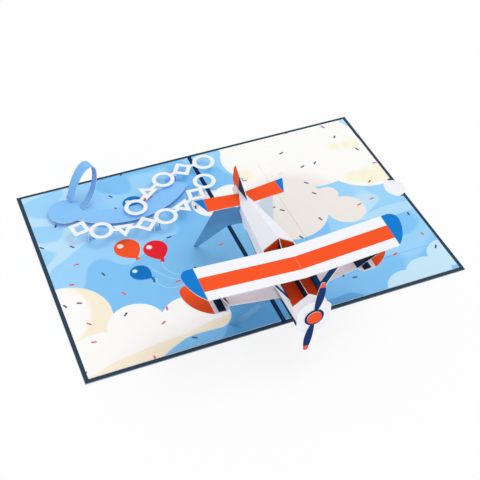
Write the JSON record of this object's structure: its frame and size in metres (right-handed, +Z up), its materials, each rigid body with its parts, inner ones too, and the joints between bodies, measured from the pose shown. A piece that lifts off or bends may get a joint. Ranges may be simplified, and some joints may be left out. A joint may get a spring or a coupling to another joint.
{
  "type": "pop up card",
  "caption": "Open greeting card with a folded paper biplane standing over its fold, a turning propeller, a trail ribbon with a loop and a slide-out note card.",
  "frame": {"origin": "centre of the open card's flat underside", "axes": "+X across the fold to the half with the note card, +Y towards the card's back edge, +Z up"},
  "size_m": [0.257, 0.2159, 0.0708],
  "materials": {
    "cover": "matt uncoated card",
    "left_liner": "matt uncoated card",
    "right_liner": "matt uncoated card",
    "note_card": "matt uncoated card",
    "tail_support": "matt uncoated card",
    "front_support": "matt uncoated card",
    "fuselage_shell": "matt uncoated card",
    "spine_plate": "matt uncoated card",
    "cockpit_rear": "matt uncoated card",
    "cockpit_floor_left": "matt uncoated card",
    "cockpit_floor_right": "matt uncoated card",
    "tailplane": "matt uncoated card",
    "lower_wing": "matt uncoated card",
    "upper_wing": "matt uncoated card",
    "interplane_strut_left": "matt uncoated card",
    "interplane_strut_right": "matt uncoated card",
    "cabane_bracket_left": "matt uncoated card",
    "cabane_bracket_right": "matt uncoated card",
    "nose_plate": "matt uncoated card",
    "propeller": "matt uncoated card",
    "hub_cap": "matt uncoated card",
    "hub_washer": "matt uncoated card",
    "ribbon_band": "matt uncoated card",
    "ribbon_loop": "matt uncoated card",
    "garland_lower": "matt uncoated card",
    "garland_upper": "matt uncoated card",
    "ribbon_riser_left": "matt uncoated card",
    "ribbon_riser_middle": "matt uncoated card",
    "garland_riser_left": "matt uncoated card",
    "garland_riser_middle": "matt uncoated card",
    "garland_riser_right": "matt uncoated card",
    "crest_riser": "matt uncoated card"
  },
  "bodies": {
    "card": {"cover": "cover", "left_liner": "left_liner", "right_liner": "right_liner", "tail_support": "tail_support", "front_support": "front_support", "fuselage_shell": "fuselage_shell", "spine_plate": "spine_plate", "cockpit_rear": "cockpit_rear", "cockpit_floor_left": "cockpit_floor_left", "cockpit_floor_right": "cockpit_floor_right", "tailplane": "tailplane", "lower_wing": "lower_wing", "upper_wing": "upper_wing", "interplane_strut_left": "interplane_strut_left", "interplane_strut_right": "interplane_strut_right", "cabane_bracket_left": "cabane_bracket_left", "cabane_bracket_right": "cabane_bracket_right", "nose_plate": "nose_plate", "hub_cap": "hub_cap", "hub_washer": "hub_washer", "ribbon_band": "ribbon_band", "ribbon_loop": "ribbon_loop", "garland_lower": "garland_lower", "garland_upper": "garland_upper", "ribbon_riser_left": "ribbon_riser_left", "ribbon_riser_middle": "ribbon_riser_middle", "garland_riser_left": "garland_riser_left", "garland_riser_middle": "garland_riser_middle", "garland_riser_right": "garland_riser_right", "crest_riser": "crest_riser"},
    "propeller": {"propeller": "propeller"},
    "note_card": {"note_card": "note_card"}
  },
  "joints": [
    {"name": "propeller_spin", "type": "hinge", "parent": "card", "child": "propeller", "pos_m": [0, -0.1263, 0.0442], "axis": [0, 1, 0], "continuous": true},
    {"name": "note_slide", "type": "slide", "parent": "card", "child": "note_card", "axis": [1, 0, 0], "range_m": [0, 0.07]}
  ]
}
